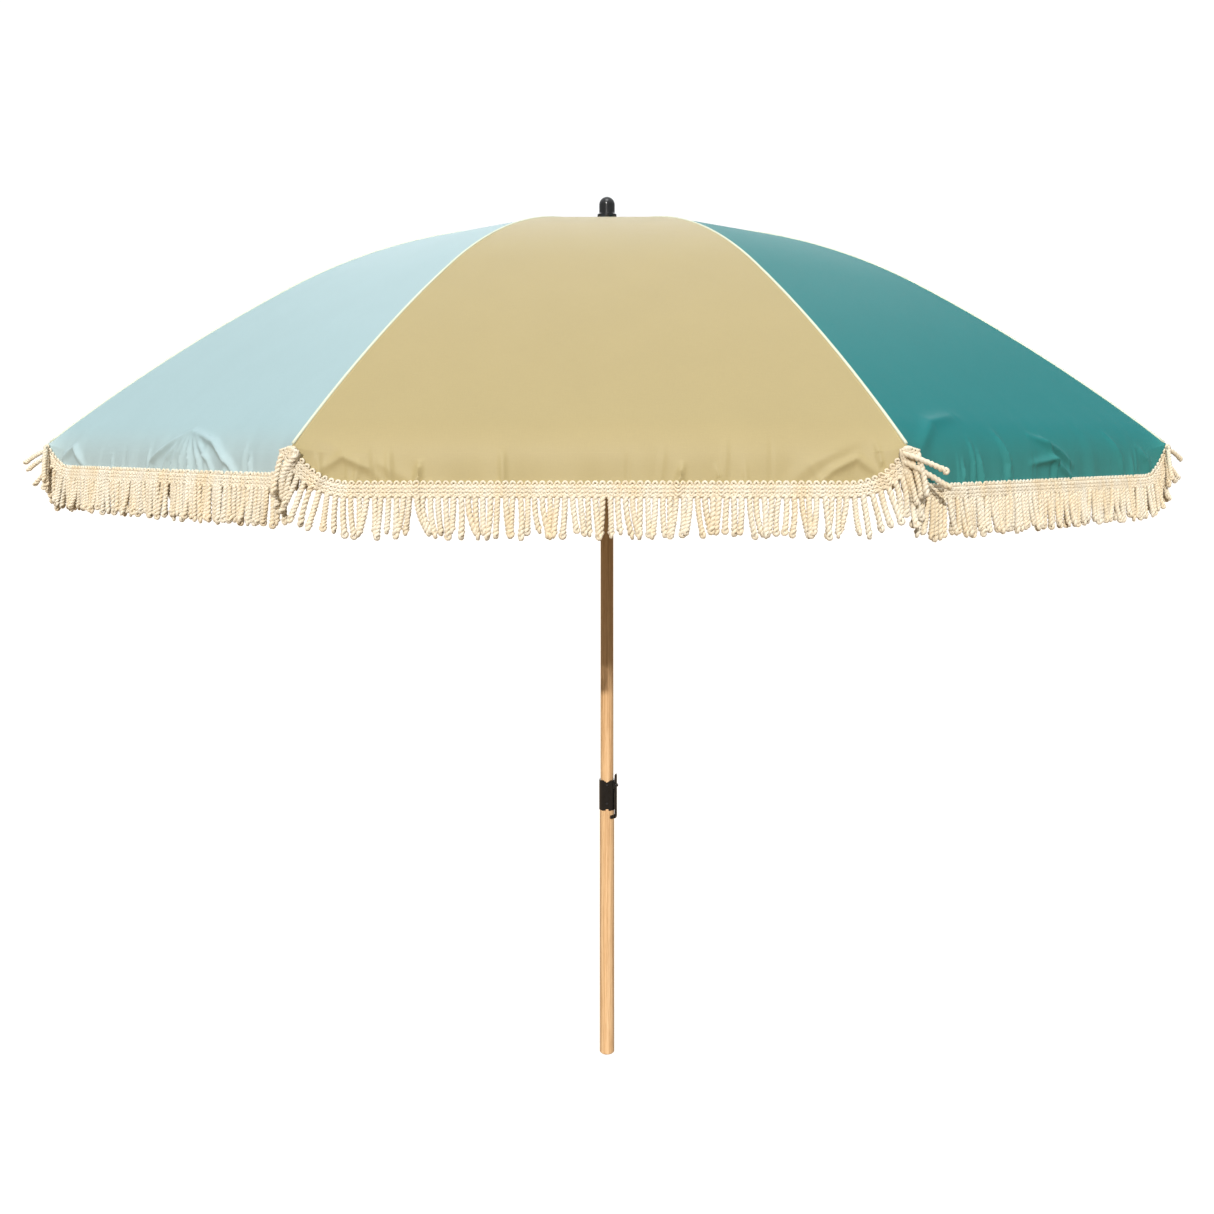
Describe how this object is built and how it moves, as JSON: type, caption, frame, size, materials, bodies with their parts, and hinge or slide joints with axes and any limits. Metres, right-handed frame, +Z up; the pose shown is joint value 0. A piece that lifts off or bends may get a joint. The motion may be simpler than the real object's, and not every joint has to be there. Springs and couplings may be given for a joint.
{
  "type": "beach umbrella",
  "caption": "Folding beach umbrella with a two-piece timber pole, curved ribs on a sliding runner, and a fringed canopy in olive, teal and light blue panels.",
  "frame": {"origin": "centre of the pole's lower end", "axes": "+Z up along the pole; -Y towards the front panel's middle"},
  "size_m": [1.8478, 1.8478, 1.661],
  "materials": {
    "olive_fabric": "satin",
    "teal_fabric": "satin",
    "light_blue_fabric": "satin",
    "fringe": "matte",
    "timber": "clear satin",
    "black_fitting": "gloss",
    "black_steel": "semi-gloss",
    "spring_steel": "bright"
  },
  "bodies": {
    "lower_pole": {"lower_pole": "timber", "pole_sleeve": "black_fitting", "sleeve_pins": "black_steel"},
    "latch": {"latch_lever": "black_fitting", "latch_spring": "spring_steel"},
    "upper_pole": {"upper_pole": "timber", "crown": "black_fitting", "crown_wire": "spring_steel", "finial": "black_fitting"},
    "runner": {"runner": "black_fitting", "runner_pins": "spring_steel"},
    "runner_catch": {"runner_catch": "black_fitting"},
    "rib_1": {"rib_1": "black_steel", "rib_fittings_1": "black_fitting", "panel_1_right": "olive_fabric", "panel_2_left": "teal_fabric"},
    "stretcher_1": {"stretcher_1": "black_steel"},
    "hem_1": {"fringed_hem_1": "fringe"},
    "rib_2": {"rib_2": "black_steel", "rib_fittings_2": "black_fitting", "panel_2_right": "teal_fabric", "panel_3_left": "olive_fabric"},
    "stretcher_2": {"stretcher_2": "black_steel"},
    "hem_2": {"fringed_hem_2": "fringe"},
    "rib_3": {"rib_3": "black_steel", "rib_fittings_3": "black_fitting", "panel_3_right": "olive_fabric", "panel_4_left": "light_blue_fabric"},
    "stretcher_3": {"stretcher_3": "black_steel"},
    "hem_3": {"fringed_hem_3": "fringe"},
    "rib_4": {"rib_4": "black_steel", "rib_fittings_4": "black_fitting", "panel_4_right": "light_blue_fabric", "panel_5_left": "olive_fabric"},
    "stretcher_4": {"stretcher_4": "black_steel"},
    "hem_4": {"fringed_hem_4": "fringe"},
    "rib_5": {"rib_5": "black_steel", "rib_fittings_5": "black_fitting", "panel_5_right": "olive_fabric", "panel_6_left": "teal_fabric"},
    "stretcher_5": {"stretcher_5": "black_steel"},
    "hem_5": {"fringed_hem_5": "fringe"},
    "rib_6": {"rib_6": "black_steel", "rib_fittings_6": "black_fitting", "panel_6_right": "teal_fabric", "panel_7_left": "olive_fabric"},
    "stretcher_6": {"stretcher_6": "black_steel"},
    "hem_6": {"fringed_hem_6": "fringe"},
    "rib_7": {"rib_7": "black_steel", "rib_fittings_7": "black_fitting", "panel_7_right": "olive_fabric", "panel_8_left": "light_blue_fabric"},
    "stretcher_7": {"stretcher_7": "black_steel"},
    "hem_7": {"fringed_hem_7": "fringe"},
    "rib_8": {"rib_8": "black_steel", "rib_fittings_8": "black_fitting", "panel_8_right": "light_blue_fabric", "panel_1_left": "olive_fabric"},
    "stretcher_8": {"stretcher_8": "black_steel"},
    "hem_8": {"fringed_hem_8": "fringe"}
  },
  "joints": [
    {"name": "pole_lift", "type": "slide", "parent": "lower_pole", "child": "upper_pole", "axis": [0, 0, 1], "range_m": [0, 0.029]},
    {"name": "latch_release", "type": "hinge", "parent": "lower_pole", "child": "latch", "pos_m": [0.01688, -0.00682, 0.519], "axis": [-0.3746, -0.9272, 0], "range_deg": [0, 8], "stiffness_Nm_per_rad": 0.2, "springref_deg": -2.86, "deforming": ["latch_spring"]},
    {"name": "canopy_fold", "type": "hinge", "parent": "upper_pole", "child": "rib_1", "pos_m": [0.00842, -0.02032, 1.586], "axis": [0.9239, 0.3827, 0], "range_deg": [0, 63.5], "deforming": ["panel_1_right", "panel_2_left"]},
    {"name": "stretcher_1_turn", "type": "hinge", "parent": "rib_1", "child": "stretcher_1", "pos_m": [0.18981, -0.45824, 1.49334], "axis": [0.9239, 0.3827, 0], "range_deg": [-127, 0]},
    {"name": "hem_1_hang", "type": "hinge", "parent": "rib_1", "child": "hem_1", "pos_m": [0.37656, -0.9091, 1.18714], "axis": [0.9239, 0.3827, 0], "range_deg": [-63.5, 0], "deforming": ["fringed_hem_1"]},
    {"name": "rib_2_fold", "type": "hinge", "parent": "upper_pole", "child": "rib_2", "pos_m": [0.02032, -0.00842, 1.586], "axis": [0.3827, 0.9239, 0], "range_deg": [0, 63.5], "deforming": ["panel_2_right", "panel_3_left"]},
    {"name": "stretcher_2_turn", "type": "hinge", "parent": "rib_2", "child": "stretcher_2", "pos_m": [0.45824, -0.18981, 1.49334], "axis": [0.3827, 0.9239, 0], "range_deg": [-127, 0]},
    {"name": "hem_2_hang", "type": "hinge", "parent": "rib_2", "child": "hem_2", "pos_m": [0.9091, -0.37656, 1.18714], "axis": [0.3827, 0.9239, 0], "range_deg": [-63.5, 0], "deforming": ["fringed_hem_2"]},
    {"name": "rib_3_fold", "type": "hinge", "parent": "upper_pole", "child": "rib_3", "pos_m": [0.02032, 0.00842, 1.586], "axis": [-0.3827, 0.9239, 0], "range_deg": [0, 63.5], "deforming": ["panel_3_right", "panel_4_left"]},
    {"name": "stretcher_3_turn", "type": "hinge", "parent": "rib_3", "child": "stretcher_3", "pos_m": [0.45824, 0.18981, 1.49334], "axis": [-0.3827, 0.9239, 0], "range_deg": [-127, 0]},
    {"name": "hem_3_hang", "type": "hinge", "parent": "rib_3", "child": "hem_3", "pos_m": [0.9091, 0.37656, 1.18714], "axis": [-0.3827, 0.9239, 0], "range_deg": [-63.5, 0], "deforming": ["fringed_hem_3"]},
    {"name": "rib_4_fold", "type": "hinge", "parent": "upper_pole", "child": "rib_4", "pos_m": [0.00842, 0.02032, 1.586], "axis": [-0.9239, 0.3827, 0], "range_deg": [0, 63.5], "deforming": ["panel_4_right", "panel_5_left"]},
    {"name": "stretcher_4_turn", "type": "hinge", "parent": "rib_4", "child": "stretcher_4", "pos_m": [0.18981, 0.45824, 1.49334], "axis": [-0.9239, 0.3827, 0], "range_deg": [-127, 0]},
    {"name": "hem_4_hang", "type": "hinge", "parent": "rib_4", "child": "hem_4", "pos_m": [0.37656, 0.9091, 1.18714], "axis": [-0.9239, 0.3827, 0], "range_deg": [-63.5, 0], "deforming": ["fringed_hem_4"]},
    {"name": "rib_5_fold", "type": "hinge", "parent": "upper_pole", "child": "rib_5", "pos_m": [-0.00842, 0.02032, 1.586], "axis": [-0.9239, -0.3827, 0], "range_deg": [0, 63.5], "deforming": ["panel_5_right", "panel_6_left"]},
    {"name": "stretcher_5_turn", "type": "hinge", "parent": "rib_5", "child": "stretcher_5", "pos_m": [-0.18981, 0.45824, 1.49334], "axis": [-0.9239, -0.3827, 0], "range_deg": [-127, 0]},
    {"name": "hem_5_hang", "type": "hinge", "parent": "rib_5", "child": "hem_5", "pos_m": [-0.37656, 0.9091, 1.18714], "axis": [-0.9239, -0.3827, 0], "range_deg": [-63.5, 0], "deforming": ["fringed_hem_5"]},
    {"name": "rib_6_fold", "type": "hinge", "parent": "upper_pole", "child": "rib_6", "pos_m": [-0.02032, 0.00842, 1.586], "axis": [-0.3827, -0.9239, 0], "range_deg": [0, 63.5], "deforming": ["panel_6_right", "panel_7_left"]},
    {"name": "stretcher_6_turn", "type": "hinge", "parent": "rib_6", "child": "stretcher_6", "pos_m": [-0.45824, 0.18981, 1.49334], "axis": [-0.3827, -0.9239, 0], "range_deg": [-127, 0]},
    {"name": "hem_6_hang", "type": "hinge", "parent": "rib_6", "child": "hem_6", "pos_m": [-0.9091, 0.37656, 1.18714], "axis": [-0.3827, -0.9239, 0], "range_deg": [-63.5, 0], "deforming": ["fringed_hem_6"]},
    {"name": "rib_7_fold", "type": "hinge", "parent": "upper_pole", "child": "rib_7", "pos_m": [-0.02032, -0.00842, 1.586], "axis": [0.3827, -0.9239, 0], "range_deg": [0, 63.5], "deforming": ["panel_7_right", "panel_8_left"]},
    {"name": "stretcher_7_turn", "type": "hinge", "parent": "rib_7", "child": "stretcher_7", "pos_m": [-0.45824, -0.18981, 1.49334], "axis": [0.3827, -0.9239, 0], "range_deg": [-127, 0]},
    {"name": "hem_7_hang", "type": "hinge", "parent": "rib_7", "child": "hem_7", "pos_m": [-0.9091, -0.37656, 1.18714], "axis": [0.3827, -0.9239, 0], "range_deg": [-63.5, 0], "deforming": ["fringed_hem_7"]},
    {"name": "rib_8_fold", "type": "hinge", "parent": "upper_pole", "child": "rib_8", "pos_m": [-0.00842, -0.02032, 1.586], "axis": [0.9239, -0.3827, 0], "range_deg": [0, 63.5], "deforming": ["panel_8_right", "panel_1_left"]},
    {"name": "stretcher_8_turn", "type": "hinge", "parent": "rib_8", "child": "stretcher_8", "pos_m": [-0.18981, -0.45824, 1.49334], "axis": [0.9239, -0.3827, 0], "range_deg": [-127, 0]},
    {"name": "hem_8_hang", "type": "hinge", "parent": "rib_8", "child": "hem_8", "pos_m": [-0.37656, -0.9091, 1.18714], "axis": [0.9239, -0.3827, 0], "range_deg": [-63.5, 0], "deforming": ["fringed_hem_8"]},
    {"name": "runner_ride", "type": "hinge", "parent": "stretcher_1", "child": "runner", "pos_m": [0.00842, -0.02032, 1.40067], "axis": [0.9239, 0.3827, 0], "range_deg": [0, 63.5]},
    {"name": "runner_catch_press", "type": "hinge", "parent": "runner", "child": "runner_catch", "pos_m": [0.0198, 0, 1.37467], "axis": [0, 1, 0], "range_deg": [0, 5], "stiffness_Nm_per_rad": 0.2, "springref_deg": -2.86}
  ],
  "couplings": [
    {"joint": "stretcher_1_turn", "follows": "canopy_fold", "ratio": -2},
    {"joint": "hem_1_hang", "follows": "canopy_fold", "ratio": -1},
    {"joint": "rib_2_fold", "follows": "canopy_fold", "ratio": 1},
    {"joint": "stretcher_2_turn", "follows": "canopy_fold", "ratio": -2},
    {"joint": "hem_2_hang", "follows": "canopy_fold", "ratio": -1},
    {"joint": "rib_3_fold", "follows": "canopy_fold", "ratio": 1},
    {"joint": "stretcher_3_turn", "follows": "canopy_fold", "ratio": -2},
    {"joint": "hem_3_hang", "follows": "canopy_fold", "ratio": -1},
    {"joint": "rib_4_fold", "follows": "canopy_fold", "ratio": 1},
    {"joint": "stretcher_4_turn", "follows": "canopy_fold", "ratio": -2},
    {"joint": "hem_4_hang", "follows": "canopy_fold", "ratio": -1},
    {"joint": "rib_5_fold", "follows": "canopy_fold", "ratio": 1},
    {"joint": "stretcher_5_turn", "follows": "canopy_fold", "ratio": -2},
    {"joint": "hem_5_hang", "follows": "canopy_fold", "ratio": -1},
    {"joint": "rib_6_fold", "follows": "canopy_fold", "ratio": 1},
    {"joint": "stretcher_6_turn", "follows": "canopy_fold", "ratio": -2},
    {"joint": "hem_6_hang", "follows": "canopy_fold", "ratio": -1},
    {"joint": "rib_7_fold", "follows": "canopy_fold", "ratio": 1},
    {"joint": "stretcher_7_turn", "follows": "canopy_fold", "ratio": -2},
    {"joint": "hem_7_hang", "follows": "canopy_fold", "ratio": -1},
    {"joint": "rib_8_fold", "follows": "canopy_fold", "ratio": 1},
    {"joint": "stretcher_8_turn", "follows": "canopy_fold", "ratio": -2},
    {"joint": "hem_8_hang", "follows": "canopy_fold", "ratio": -1},
    {"joint": "runner_ride", "follows": "canopy_fold", "ratio": 1}
  ]
}
